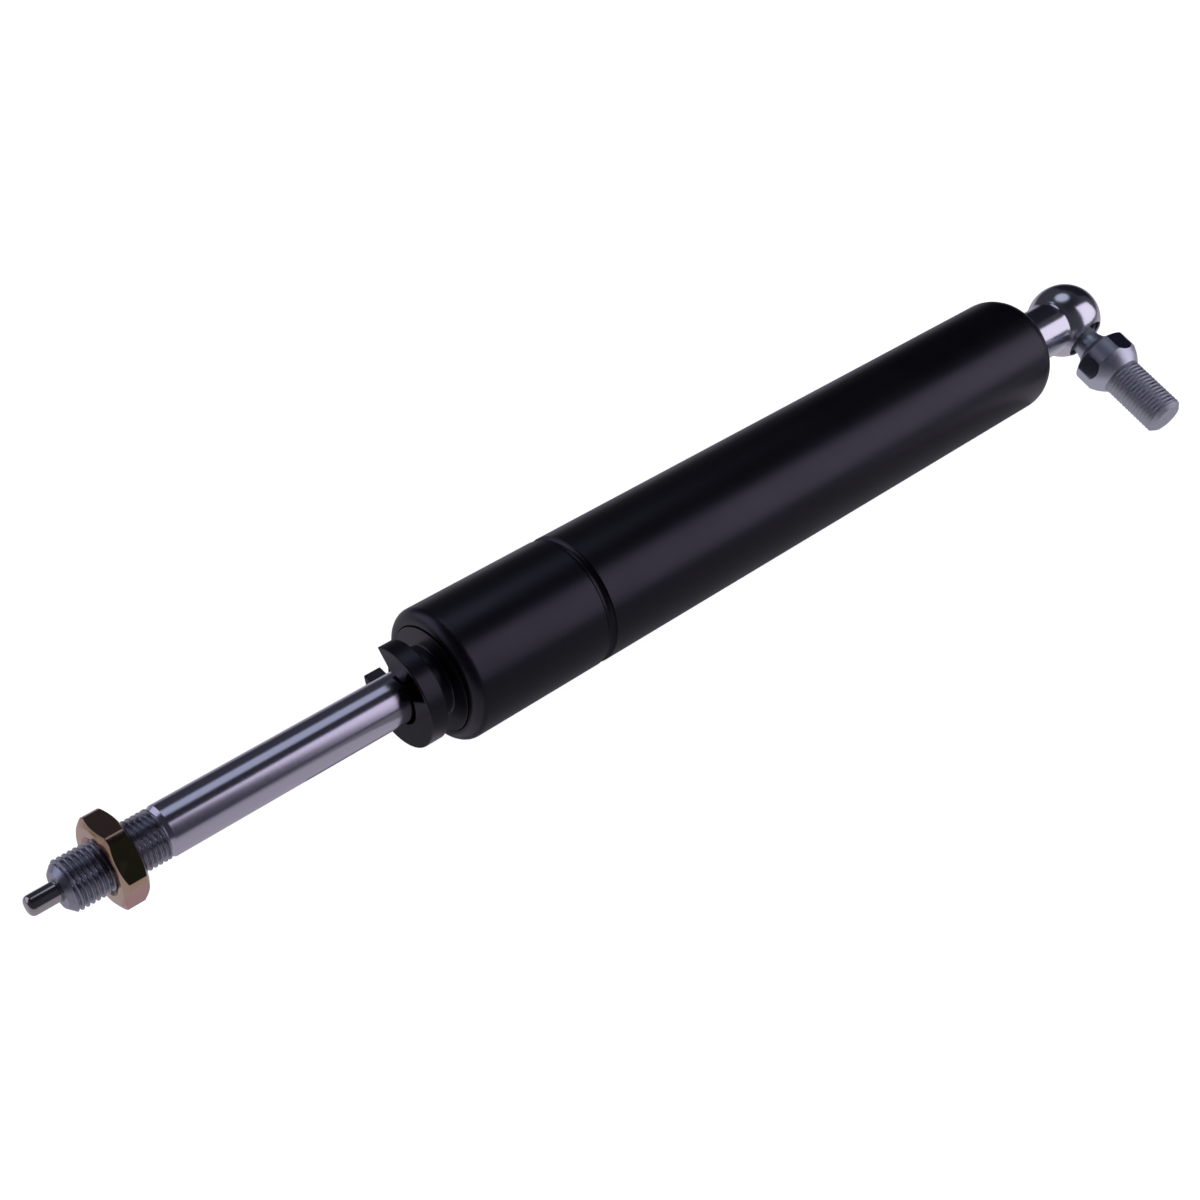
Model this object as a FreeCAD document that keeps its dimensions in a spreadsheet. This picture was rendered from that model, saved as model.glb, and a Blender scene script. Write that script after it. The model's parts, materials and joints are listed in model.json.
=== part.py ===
"""Lockable gas spring, lying on its side, in millimetres.

The ball joint's centre is the origin. The tube's axis is X and the ball end is at +X, so the rod comes
out towards -X. Z is up. Round pieces are turned from a half profile, with x along the axis and r outwards.
"""
import FreeCAD
import Part
import Sketcher
import math
import os
import types

X = FreeCAD.Vector(1, 0, 0)
Z = FreeCAD.Vector(0, 0, 1)
# Turns a primitive's own Z axis to X, and its own X axis to Y.
ALONG_X = FreeCAD.Rotation(FreeCAD.Vector(1, 1, 1), 120)

# Driving dimensions. Lengths are in millimetres and angles in degrees.
DIMENSIONS = {
    # Pressure tube
    "tube_length": 182.2,
    "tube_dia": 28.0,
    "tube_wall": 1.5,
    "rim_round": 2.6,
    "rim_flat": 0.2,
    "rim_lip": 1.5,
    "bead_place": 34.4,
    "bead_width": 2.6,
    "bead_depth": 0.7,
    "shoulder_round": 5.0,
    "tail_mouth_dia": 13.8,
    # Fits
    "running_gap": 0.04,
    "bore_gap": 0.05,
    "loose_gap": 0.35,
    # Front collar
    "collar_reach": 8.3,
    "collar_dia": 21.2,
    "collar_hollow_dia": 11.2,
    "collar_hollow_depth": 9.0,
    "collar_spigot": 8.4,
    "collar_shoulder": 0.3,
    "collar_neck_dia": 14.4,
    "claw_length": 3.9,
    "claw_gap_turn": 26.0,
    "claw_gap_root": 5.8,
    "claw_gap_mouth": 13.1,
    "claw_pocket_dia": 19.6,
    "claw_pocket_depth": 3.4,
    "claw_pocket_turn": 113.0,
    "claw_pocket_sweep": 38.0,
    # Wiper, seal pack and guide
    "wiper_dia": 16.0,
    "wiper_length": 4.3,
    "wiper_lip": 1.2,
    "washer_thickness": 1.2,
    "seal_length": 6.0,
    "seal_channel_width": 2.2,
    "seal_channel_depth": 3.5,
    "bush_wall": 1.5,
    "bush_shoulder": 1.6,
    "guide_chamfer": 0.8,
    "stop_thickness": 3.0,
    "stop_gap": 0.2,
    # O-rings in the tube's bore
    "ring_cord": 2.4,
    "ring_groove_width": 3.0,
    # Piston rod
    "rod_dia": 10.0,
    "rod_bore_dia": 3.9,
    "rod_chrome": 50.2,
    "rod_taper": 1.7,
    "thread_length": 18.9,
    "thread_dia": 9.85,
    "thread_pitch": 1.0,
    "thread_groove_mouth": 0.48,
    "thread_groove_depth": 0.42,
    "thread_chamfer": 1.4,
    "relief_place": 7.4,
    "relief_width": 0.8,
    "spigot_dia": 7.8,
    "spigot_length": 17.0,
    # Piston, its ring and the release valve
    "piston_length": 12.0,
    "piston_gap": 0.2,
    "piston_groove_place": 5.0,
    "piston_groove_width": 3.2,
    "piston_groove_floor_dia": 19.4,
    "piston_ring_wall": 1.07,
    "energiser_cord": 1.6,
    "drilling_dia": 1.6,
    "drilling_circle_dia": 14.0,
    "valve_length": 16.0,
    "valve_dia": 19.0,
    "valve_collector_depth": 1.2,
    "valve_collector_width": 2.0,
    "valve_chamber_dia": 5.9,
    "valve_seal_place": 5.2,
    "stem_seal_length": 2.2,
    "stem_seal_cord": 1.35,
    "retainer_length": 1.2,
    "seat_place": 13.0,
    "seat_dia": 4.4,
    "seat_mouth_dia": 6.6,
    # Release pin, push rod and valve stem
    "pin_reach": 5.7,
    "pin_dia": 3.8,
    "pin_length": 26.0,
    "pin_tip_round": 1.0,
    "push_rod_dia": 3.2,
    "stem_dia": 3.0,
    "stem_waist_dia": 2.2,
    "stem_lead": 4.0,
    "stem_head_length": 1.8,
    "stem_gap": 0.1,
    # Lock nut
    "nut_place": 7.85,
    "nut_flats": 16.0,
    "nut_thickness": 5.0,
    "nut_face_dia": 14.8,
    "nut_round_dia": 17.7,
    "nut_chamfer_angle": 30.0,
    "nut_turn": 112.0,
    # Separator piston
    "separator_place": 113.9,
    "separator_length": 14.0,
    "separator_cup_dia": 17.0,
    "separator_cup_depth": 9.0,
    "separator_groove_edge": 2.0,
    # End plug and ball joint
    "ball_reach": 22.2,
    "plug_depth": 15.0,
    "plug_groove_place": 3.0,
    "plug_stud_dia": 8.0,
    "plug_stud_length": 10.0,
    "socket_dia": 18.3,
    "socket_neck_dia": 13.0,
    "socket_wall": 1.2,
    "socket_mouth_dia": 10.4,
    "seat_liner_wall": 1.35,
    "liner_mouth_dia": 9.5,
    "ball_dia": 13.0,
    "mouth_drop": 15.2,
    "stud_tilt": 6.2,
    # Ball stud, measured from the ball's centre
    "stud_neck_dia": 6.8,
    "stud_neck_end": 9.0,
    "stud_flare_dia": 8.6,
    "stud_collar_start": 11.4,
    "stud_collar_end": 21.4,
    "stud_collar_dia": 14.8,
    "stud_collar_cone": 2.0,
    "stud_collar_round": 3.6,
    "stud_collar_arc": 12.0,
    "stud_collar_face_dia": 10.4,
    "stud_flats": 14.0,
    "stud_flats_turn": 39.5,
    "stud_reach": 37.2,
    "stud_thread_dia": 9.86,
    "stud_thread_pitch": 1.0,
    "stud_thread_mouth": 0.75,
    "stud_thread_depth": 0.55,
    "stud_tip_chamfer": 1.0,
}

doc = FreeCAD.newDocument("gas_spring")
sheet = doc.addObject("Spreadsheet::Sheet", "sizes")
for row, (alias, value) in enumerate(DIMENSIONS.items(), start=1):
    sheet.set(f"A{row}", alias.replace("_", " "))
    sheet.set(f"B{row}", str(value))
    sheet.setAlias(f"B{row}", alias)
doc.recompute()


class Size:
    """A size as a number, together with the expression that ties it to the sheet's cells."""

    def __init__(self, number, text):
        self.number = number
        self.text = text

    @staticmethod
    def of(value):
        return value if isinstance(value, Size) else Size(float(value), repr(float(value)))

    def __add__(self, other):
        other = Size.of(other)
        return Size(self.number + other.number, f"({self.text} + {other.text})")

    def __sub__(self, other):
        other = Size.of(other)
        return Size(self.number - other.number, f"({self.text} - {other.text})")

    def __mul__(self, other):
        other = Size.of(other)
        return Size(self.number * other.number, f"({self.text} * {other.text})")

    def __truediv__(self, other):
        other = Size.of(other)
        return Size(self.number / other.number, f"({self.text} / {other.text})")

    def __neg__(self):
        return Size(-self.number, f"(-1 * {self.text})")

    def root(self):
        return Size(math.sqrt(self.number), f"sqrt({self.text})")

    def whole(self):
        return Size(math.floor(self.number), f"floor({self.text})")


d = types.SimpleNamespace(**{alias: Size(sheet.get(alias), f"sizes.{alias}") for alias in DIMENSIONS})
subparts = []


def bind(thing, **sizes):
    """Ties properties of a document object to the sheet."""
    for name, size in sizes.items():
        thing.setExpression(name, size.text)


def arc_between(here, there, turn):
    """The arc from one point to the next; a positive radius turns left, a negative one right."""
    chord = there - here
    left = FreeCAD.Vector(-chord.y, chord.x, 0).normalize()
    rise = math.sqrt(turn * turn - chord.Length * chord.Length / 4)
    centre = (here + there) * 0.5 + left * math.copysign(rise, turn)
    start, end = (here, there) if turn > 0 else (there, here)
    angles = [math.atan2(point.y - centre.y, point.x - centre.x) for point in (start, end)]
    return Part.ArcOfCircle(Part.Circle(centre, Z, abs(turn)), angles[0], angles[1])


def hold(sketch, edge, end, value, direction, axis):
    """Fixes one coordinate of a corner: on the axis for 0, at a distance tied to the sheet otherwise."""
    if isinstance(value, Size):
        index = sketch.addConstraint(Sketcher.Constraint(direction, -1, 1, edge, end, value.number))
        sketch.setExpression(f"Constraints[{index}]", value.text)
    else:
        sketch.addConstraint(Sketcher.Constraint("PointOnObject", edge, end, axis))


def outline(sketch, corners):
    """Draws a closed profile. A corner is (x, r), or (x, r, turn) where an arc leads to the next one."""
    points = [FreeCAD.Vector(Size.of(corner[0]).number, Size.of(corner[1]).number, 0) for corner in corners]
    edges = []
    for place, corner in enumerate(corners):
        here = points[place]
        there = points[(place + 1) % len(points)]
        if len(corner) == 2:
            edges.append((sketch.addGeometry(Part.LineSegment(here, there)), 1, 2))
            continue
        turn = corner[2]
        radius = turn if turn.number > 0 else -turn
        edge = sketch.addGeometry(arc_between(here, there, turn.number))
        edges.append((edge, 1, 2) if turn.number > 0 else (edge, 2, 1))
        index = sketch.addConstraint(Sketcher.Constraint("Radius", edge, radius.number))
        sketch.setExpression(f"Constraints[{index}]", radius.text)
    for place, (edge, tail, head) in enumerate(edges):
        following, following_tail, _ = edges[(place + 1) % len(edges)]
        sketch.addConstraint(Sketcher.Constraint("Coincident", edge, head, following, following_tail))
        hold(sketch, edge, tail, corners[place][0], "DistanceX", -2)
        hold(sketch, edge, tail, corners[place][1], "DistanceY", -1)


def profile(body, name, corners):
    """A sketch of a half profile on the body's own XY plane."""
    sketch = body.newObject("Sketcher::SketchObject", name)
    plane = next(feature for feature in body.Origin.OriginFeatures if feature.Role == "XY_Plane")
    sketch.AttachmentSupport = [(plane, "")]
    sketch.MapMode = "FlatFace"
    outline(sketch, corners)
    return sketch


def turned(name, corners):
    """A body turned about X from a half profile."""
    body = doc.addObject("PartDesign::Body", name)
    turning = body.newObject("PartDesign::Revolution", f"{name}_turning")
    turning.Profile = profile(body, f"{name}_profile", corners)
    turning.ReferenceAxis = (turning.Profile[0], ["H_Axis"])
    turning.Angle = 360
    return body


def grooved(body, corners, count=None, pitch=None):
    """Cuts a ring groove in a turned body, or a row of them along X."""
    number = len(body.Group)
    groove = body.newObject("PartDesign::Groove", f"{body.Name}_groove_{number}")
    groove.Profile = profile(body, f"{body.Name}_groove_profile_{number}", corners)
    groove.ReferenceAxis = (groove.Profile[0], ["H_Axis"])
    groove.Angle = 360
    if count is None:
        return
    row = body.newObject("PartDesign::LinearPattern", f"{body.Name}_groove_row_{number}")
    row.Originals = [groove]
    row.Direction = (groove.Profile[0], ["H_Axis"])
    bind(row, Length=pitch * (count - 1), Occurrences=count)
    body.Tip = row


def square_groove(start, width, floor_radius, outer_radius):
    """Profile of a square-cornered groove that reaches out past the outer radius."""
    past = outer_radius + d.ring_cord
    return [(start, floor_radius), (start + width, floor_radius), (start + width, past), (start, past)]


def vee_groove(start, mouth, depth, outer_radius):
    """Profile of a V groove; its sides run on a little past the outer radius."""
    past = depth / 4
    slope = mouth / 8
    top = outer_radius + past
    return [(start - slope, top), (start + mouth / 2, outer_radius - depth), (start + mouth + slope, top)]


def primitive(kind, name, place, **sizes):
    """A simple solid at a placement, with its sizes tied to the sheet."""
    thing = doc.addObject(f"Part::{kind}", name)
    thing.Placement = place
    bind(thing, **sizes)
    return thing


def along(rotation, start=None):
    """Placement of a primitive whose own Z axis follows the rotated X axis, from start along it."""
    start = 0.0 if start is None else start.number
    return FreeCAD.Placement(rotation.multVec(X * start), rotation * ALONG_X)


def joined(name, *pieces):
    fuse = doc.addObject("Part::MultiFuse", name)
    fuse.Shapes = list(pieces)
    return fuse


def cut(name, base, tool):
    result = doc.addObject("Part::Cut", name)
    result.Base = base
    result.Tool = tool
    return result


def common(name, base, tool):
    result = doc.addObject("Part::Common", name)
    result.Base = base
    result.Tool = tool
    return result


def subpart(thing, label, start=None):
    """Names a finished piece and sets its place along X."""
    thing.Label = label
    if start is not None:
        thing.setExpression("Placement.Base.x", start.text)
    subparts.append(thing)


def bore_ring(label, centre, bore_radius):
    """An O-ring of the tube's bore."""
    ring = doc.addObject("Part::Torus", f"{label}_torus")
    ring.Placement = along(FreeCAD.Rotation())
    bind(ring, Radius1=bore_radius - d.bore_gap - d.ring_cord / 2, Radius2=d.ring_cord / 2)
    subpart(ring, label, centre)


LEVEL = FreeCAD.Rotation()
tube_radius = d.tube_dia / 2
bore_radius = tube_radius - d.tube_wall
rim_mouth = tube_radius - d.rim_round - d.rim_flat
fitted_radius = bore_radius - d.bore_gap
rod_radius = d.rod_dia / 2
rod_hole = rod_radius + d.running_gap
ring_floor = bore_radius - d.bore_gap - d.ring_cord - d.bore_gap
# Planes along X: the tube's front rim and tail, then the pieces in the order they lie in the bore.
front = -(d.ball_reach + d.tube_length)
tail = -d.ball_reach
collar_end = front + d.rim_lip + d.collar_spigot
seal_start = collar_end + d.washer_thickness
support_start = seal_start + d.seal_length
guide_start = support_start + d.washer_thickness
bead_start = front + d.bead_place - d.bead_width / 2
stop_start = bead_start + d.bead_width
piston_start = stop_start + d.stop_thickness + d.stop_gap
valve_start = piston_start + d.piston_length
claw_front = front - d.collar_reach
taper_end = claw_front - d.rod_chrome
thread_end = taper_end - d.rod_taper
rod_tip = thread_end - d.thread_length
plug_start = tail - d.plug_depth


def pressure_tube():
    """Steel tube, rolled in at the rim and the tail, with a bead rolled in behind the guide."""
    tail_mouth = d.tail_mouth_dia / 2
    inner_round = d.shoulder_round - d.tube_wall
    bead_from = d.bead_place - d.bead_width / 2
    bead_to = d.bead_place + d.bead_width / 2
    bead_arc = (d.bead_width * d.bead_width / 4 + d.bead_depth * d.bead_depth) / (d.bead_depth * 2)
    length = d.tube_length
    tube = turned("tube_body", [
        (0, rim_mouth),
        (0, tube_radius - d.rim_round, -d.rim_round),
        (d.rim_round, tube_radius),
        (bead_from, tube_radius, bead_arc),
        (bead_to, tube_radius),
        (length - d.shoulder_round, tube_radius, -d.shoulder_round),
        (length, tube_radius - d.shoulder_round),
        (length, tail_mouth),
        (length - d.tube_wall, tail_mouth),
        (length - d.tube_wall, tube_radius - d.shoulder_round, inner_round),
        (length - d.shoulder_round, bore_radius),
        (bead_to, bore_radius, -bead_arc),
        (bead_from, bore_radius),
        (d.rim_lip, bore_radius),
        (d.rim_lip, rim_mouth),
    ])
    subpart(tube, "pressure_tube", front)


def front_collar():
    """Moulded collar: a spigot held behind the rolled rim, a neck, and a ring with a gap and a pocket."""
    outer = d.collar_dia / 2
    through = rim_mouth - d.rim_flat
    neck = d.collar_neck_dia / 2
    neck_end = d.collar_reach - d.collar_shoulder
    spigot_start = d.collar_reach + d.rim_lip
    end = spigot_start + d.collar_spigot
    hollow = d.collar_hollow_dia / 2
    wiper_end = d.collar_hollow_depth + d.wiper_length
    body = turned("collar_body", [
        (0, hollow),
        (0, outer),
        (d.claw_length, outer),
        (d.claw_length, neck),
        (neck_end, neck),
        (neck_end, through),
        (spigot_start, through),
        (spigot_start, fitted_radius),
        (end, fitted_radius),
        (end, rod_radius + d.loose_gap),
        (wiper_end, rod_radius + d.loose_gap),
        (wiper_end, d.wiper_dia / 2),
        (d.collar_hollow_depth, d.wiper_dia / 2),
        (d.collar_hollow_depth, hollow),
    ])
    # The gap widens outwards from the axis; the wedge's own Y axis points out through it.
    root = d.claw_gap_root / 2
    far = d.claw_gap_mouth - root
    place = along(FreeCAD.Rotation(X, d.claw_gap_turn.number - 90))
    gap = primitive("Wedge", "claw_gap", place, Xmin=-root, Xmax=root, X2min=-far, X2max=far,
                    Ymax=d.collar_dia, Zmin=-d.claw_length, Z2min=-d.claw_length,
                    Zmax=d.claw_length, Z2max=d.claw_length)
    # The pocket is a sector sunk into the ring's front, inside a thin wall.
    place = along(FreeCAD.Rotation(X, d.claw_pocket_turn.number), -d.claw_pocket_depth)
    pocket = primitive("Cylinder", "claw_pocket", place, Radius=d.claw_pocket_dia / 2,
                       Height=d.claw_pocket_depth * 2)
    pocket.Angle = d.claw_pocket_sweep.number
    tools = joined("collar_tools", gap, pocket)
    subpart(cut("collar_cut", body, tools), "front_collar", claw_front)


def wiper_ring():
    """Rubber ring in the collar whose lip wipes the rod."""
    outer = d.wiper_dia / 2 - d.bore_gap
    ring = turned("wiper_body", [
        (d.wiper_lip, outer),
        (d.wiper_length - d.bore_gap, outer),
        (d.wiper_length - d.bore_gap, rod_radius + d.loose_gap),
        (d.wiper_lip, rod_radius + d.loose_gap),
        (d.wiper_lip / 2, rod_hole),
        (d.wiper_lip / 4, rod_hole),
    ])
    subpart(ring, "wiper_ring", claw_front + d.collar_hollow_depth)


def washer(label, start):
    """Flat steel washer of the seal pack."""
    ring = turned(f"{label}_body", [
        (0, rod_radius + d.loose_gap),
        (0, fitted_radius),
        (d.washer_thickness, fitted_radius),
        (d.washer_thickness, rod_radius + d.loose_gap),
    ])
    subpart(ring, label, start)


def rod_seal():
    """Rubber lip seal with a channel that the oil spreads."""
    middle = (rod_hole + fitted_radius) / 2
    channel = d.seal_length - d.seal_channel_depth
    inner_lip = middle - d.seal_channel_width / 2
    outer_lip = middle + d.seal_channel_width / 2
    ring = turned("seal_body", [
        (0, rod_hole),
        (0, fitted_radius),
        (d.seal_length, fitted_radius),
        (d.seal_length, outer_lip),
        (channel, middle),
        (d.seal_length, inner_lip),
        (d.seal_length, rod_hole),
    ])
    subpart(ring, "rod_seal", seal_start)


def rod_guide():
    """Guide with a pressed-in bush and an O-ring, held against the bead."""
    length = bead_start - guide_start
    bush_outer = rod_hole + d.bush_wall
    guide = turned("guide_body", [
        (0, rod_radius + d.loose_gap),
        (0, fitted_radius),
        (length - d.guide_chamfer, fitted_radius),
        (length, fitted_radius - d.guide_chamfer),
        (length, bush_outer + d.bore_gap),
        (d.bush_shoulder, bush_outer + d.bore_gap),
        (d.bush_shoulder, rod_radius + d.loose_gap),
    ])
    groove = (length - d.ring_groove_width) / 2
    grooved(guide, square_groove(groove, d.ring_groove_width, ring_floor, fitted_radius))
    subpart(guide, "rod_guide", guide_start)
    bush = turned("bush_body", [
        (0, rod_hole),
        (0, bush_outer),
        (length - d.bush_shoulder, bush_outer),
        (length - d.bush_shoulder, rod_hole),
    ])
    subpart(bush, "guide_bush", guide_start + d.bush_shoulder)
    bore_ring("guide_o_ring", guide_start + length / 2, bore_radius)


def stop_washer():
    """Ring behind the bead that the piston stops against."""
    ring = turned("stop_body", [
        (0, rod_radius + d.loose_gap),
        (0, fitted_radius),
        (d.stop_thickness, fitted_radius),
        (d.stop_thickness, rod_radius + d.loose_gap),
    ])
    subpart(ring, "stop_washer", stop_start)


def piston_rod():
    """Hollow chromed rod: threaded end, taper, plain length, and the spigot that carries the piston."""
    thread = d.thread_dia / 2
    bore = d.rod_bore_dia / 2
    shoulder = piston_start - rod_tip
    rod = turned("rod_body", [
        (0, bore),
        (0, thread - d.thread_chamfer),
        (d.thread_chamfer, thread),
        (d.thread_length, thread),
        (d.thread_length + d.rod_taper, rod_radius),
        (shoulder, rod_radius),
        (shoulder, d.spigot_dia / 2),
        (shoulder + d.spigot_length, d.spigot_dia / 2),
        (shoulder + d.spigot_length, bore),
    ])
    first = d.thread_chamfer + d.thread_pitch - d.thread_groove_mouth
    count = ((d.thread_length - first) / d.thread_pitch).whole()
    vee = vee_groove(first, d.thread_groove_mouth, d.thread_groove_depth, thread)
    grooved(rod, vee, count, d.thread_pitch)
    relief_floor = thread - d.thread_groove_depth
    grooved(rod, square_groove(d.relief_place, d.relief_width, relief_floor, thread))
    subpart(rod, "piston_rod", rod_tip)


def piston():
    """Piston with a ring groove and drillings that lead oil to the valve."""
    outer = bore_radius - d.piston_gap
    body = turned("piston_body", [
        (0, d.spigot_dia / 2 + d.bore_gap),
        (0, outer),
        (d.piston_length, outer),
        (d.piston_length, d.spigot_dia / 2 + d.bore_gap),
    ])
    groove = square_groove(d.piston_groove_place, d.piston_groove_width, d.piston_groove_floor_dia / 2, outer)
    grooved(body, groove)
    holes = []
    for turn in (0, 120, 240):
        place = along(LEVEL)
        place.Base = FreeCAD.Rotation(X, turn).multVec(FreeCAD.Vector(0, d.drilling_circle_dia.number / 2, 0))
        holes.append(primitive("Cylinder", f"piston_hole_{turn}", place,
                               Radius=d.drilling_dia / 2, Height=d.piston_length))
    subpart(cut("piston_cut", body, joined("piston_holes", *holes)), "piston", piston_start)
    ring_inner = fitted_radius - d.piston_ring_wall
    side_gap = d.bore_gap
    ring = turned("piston_ring_body", [
        (side_gap, ring_inner),
        (side_gap, fitted_radius),
        (d.piston_groove_width - side_gap, fitted_radius),
        (d.piston_groove_width - side_gap, ring_inner),
    ])
    groove_start = piston_start + d.piston_groove_place
    subpart(ring, "piston_ring", groove_start)
    energiser = doc.addObject("Part::Torus", "energiser_torus")
    energiser.Placement = along(LEVEL)
    bind(energiser, Radius1=ring_inner - d.bore_gap - d.energiser_cord / 2, Radius2=d.energiser_cord / 2)
    subpart(energiser, "piston_ring_energiser", groove_start + d.piston_groove_width / 2)


def valve_body():
    """Sleeve that clamps the piston on the spigot and holds the release valve's seal and seat."""
    grip = d.spigot_dia / 2 + d.bore_gap
    outer = d.valve_dia / 2
    chamber = d.valve_chamber_dia / 2
    collector = (d.drilling_circle_dia - d.valve_collector_width) / 2
    body = turned("valve_turned", [
        (0, grip),
        (0, collector),
        (d.valve_collector_depth, collector),
        (d.valve_collector_depth, collector + d.valve_collector_width),
        (0, collector + d.valve_collector_width),
        (0, outer),
        (d.valve_length, outer),
        (d.valve_length, d.seat_mouth_dia / 2),
        (d.valve_length - (d.seat_mouth_dia - d.seat_dia) / 2, d.seat_dia / 2),
        (d.seat_place, d.seat_dia / 2),
        (d.seat_place, chamber),
        (d.valve_seal_place, chamber),
        (d.valve_seal_place, grip),
    ])
    chamber_start = d.valve_seal_place + d.stem_seal_length + d.retainer_length
    reach_x = (chamber_start + d.seat_place) / 2
    circle = d.drilling_circle_dia / 2
    fall = circle - chamber
    slope = math.degrees(math.atan2(fall.number, reach_x.number))
    holes = []
    for turn in (0, 120, 240):
        lean = FreeCAD.Rotation(X, turn) * FreeCAD.Rotation(Z, -slope)
        place = along(lean)
        place.Base = FreeCAD.Rotation(X, turn).multVec(FreeCAD.Vector(0, circle.number, 0))
        length = (reach_x * reach_x + fall * fall).root() + d.drilling_dia
        holes.append(primitive("Cylinder", f"valve_hole_{turn}", place,
                               Radius=d.drilling_dia / 2, Height=length))
    subpart(cut("valve_cut", body, joined("valve_holes", *holes)), "valve_body", valve_start)
    seal_start_x = valve_start + d.valve_seal_place
    seal = doc.addObject("Part::Torus", "stem_seal_torus")
    seal.Placement = along(LEVEL)
    bind(seal, Radius1=d.stem_dia / 2 + d.running_gap + d.stem_seal_cord / 2, Radius2=d.stem_seal_cord / 2)
    subpart(seal, "stem_seal", seal_start_x + d.stem_seal_length / 2)
    retainer = turned("retainer_body", [
        (0, d.stem_dia / 2 + d.running_gap),
        (0, chamber - d.bore_gap),
        (d.retainer_length, chamber - d.bore_gap),
        (d.retainer_length, d.stem_dia / 2 + d.running_gap),
    ])
    subpart(retainer, "seal_retainer", seal_start_x + d.stem_seal_length)


def release_train():
    """Release pin, push rod and valve stem, end to end inside the hollow rod."""
    pin_start = rod_tip - d.pin_reach
    pin = turned("pin_body", [
        (0, 0),
        (0, d.pin_dia / 2 - d.pin_tip_round, -d.pin_tip_round),
        (d.pin_tip_round, d.pin_dia / 2),
        (d.pin_length, d.pin_dia / 2),
        (d.pin_length, 0),
    ])
    subpart(pin, "release_pin", pin_start)
    rod_start = pin_start + d.pin_length
    stem_start = valve_start + d.valve_seal_place - d.stem_lead
    rod_length = stem_start - rod_start
    push_rod = turned("push_rod_body", [
        (0, 0),
        (0, d.push_rod_dia / 2),
        (rod_length, d.push_rod_dia / 2),
        (rod_length, 0),
    ])
    subpart(push_rod, "push_rod", rod_start)
    waist_start = d.stem_lead + d.stem_seal_length + d.retainer_length
    rear_face = d.stem_lead + d.valve_length - d.valve_seal_place
    head_radius = d.seat_mouth_dia / 2 - d.running_gap
    cone = (d.seat_mouth_dia - d.seat_dia) / 2
    stem = turned("stem_body", [
        (0, 0),
        (0, d.stem_dia / 2),
        (waist_start, d.stem_dia / 2),
        (waist_start, d.stem_waist_dia / 2),
        (rear_face - cone + d.stem_gap, d.stem_waist_dia / 2),
        (rear_face - cone + d.stem_gap, d.seat_dia / 2 - d.running_gap),
        (rear_face + d.stem_gap, head_radius),
        (rear_face + d.stem_head_length, head_radius),
        (rear_face + d.stem_head_length, 0),
    ])
    subpart(stem, "valve_stem", stem_start)


def flatted(name, sides, corner, length, form):
    """Bar along X with flat sides, turned down to a form."""
    bar = primitive("Prism", f"{name}_bar", along(LEVEL), Circumradius=corner, Height=length)
    bar.Polygon = sides
    return common(f"{name}_flatted", bar, turned(f"{name}_form", form))


def lock_nut():
    """Thin hexagon nut on the rod's thread, with rounded corners and both faces chamfered."""
    corner = d.nut_flats / math.sqrt(3)
    widest = d.nut_round_dia / 2
    face = d.nut_face_dia / 2
    cone = (widest - face) * math.tan(math.radians(d.nut_chamfer_angle.number))
    blank = flatted("nut", 6, corner, d.nut_thickness, [
        (0, 0),
        (0, face),
        (cone, widest),
        (d.nut_thickness - cone, widest),
        (d.nut_thickness, face),
        (d.nut_thickness, 0),
    ])
    hole = primitive("Cylinder", "nut_hole", along(LEVEL),
                     Radius=d.thread_dia / 2 + d.running_gap, Height=d.nut_thickness)
    nut = cut("nut_cut", blank, hole)
    nut.Placement = FreeCAD.Placement(FreeCAD.Vector(), FreeCAD.Rotation(X, d.nut_turn.number))
    subpart(nut, "lock_nut", rod_tip + d.nut_place)


def separator():
    """Floating cup piston between oil and gas, with two O-rings."""
    cup = d.separator_cup_dia / 2
    floor = d.separator_length - d.separator_cup_depth
    body = turned("separator_body", [
        (0, 0),
        (0, fitted_radius),
        (d.separator_length, fitted_radius),
        (d.separator_length, cup),
        (floor, cup),
        (floor, 0),
    ])
    first = d.separator_groove_edge
    second = d.separator_length - d.separator_groove_edge - d.ring_groove_width
    for start in (first, second):
        grooved(body, square_groove(start, d.ring_groove_width, ring_floor, fitted_radius))
    place = front + d.separator_place
    subpart(body, "separator_piston", place)
    rings = []
    for number, start in enumerate((first, second)):
        ring = doc.addObject("Part::Torus", f"separator_ring_{number}")
        ring.Placement = along(LEVEL)
        bind(ring, Radius1=fitted_radius - d.ring_cord / 2, Radius2=d.ring_cord / 2)
        ring.setExpression("Placement.Base.x", (start + d.ring_groove_width / 2).text)
        rings.append(ring)
    pair = doc.addObject("Part::Compound", "separator_ring_pair")
    pair.Links = rings
    subpart(pair, "separator_o_rings", place)


def end_plug():
    """Plug behind the rolled tail, with an O-ring and the stud that carries the ball socket."""
    tail_inside = d.plug_depth - d.tube_wall
    straight = d.plug_depth - d.shoulder_round
    boss = d.tail_mouth_dia / 2 - d.bore_gap
    stud = d.plug_stud_dia / 2
    plug = turned("plug_body", [
        (0, 0),
        (0, fitted_radius),
        (straight, fitted_radius),
        (tail_inside, tube_radius - d.shoulder_round),
        (tail_inside, boss),
        (d.plug_depth, boss),
        (d.plug_depth, stud),
        (d.plug_depth + d.plug_stud_length, stud),
        (d.plug_depth + d.plug_stud_length, 0),
    ])
    grooved(plug, square_groove(d.plug_groove_place, d.ring_groove_width, ring_floor, fitted_radius))
    subpart(plug, "end_plug", plug_start)
    bore_ring("end_plug_o_ring", plug_start + d.plug_groove_place + d.ring_groove_width / 2, bore_radius)


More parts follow.
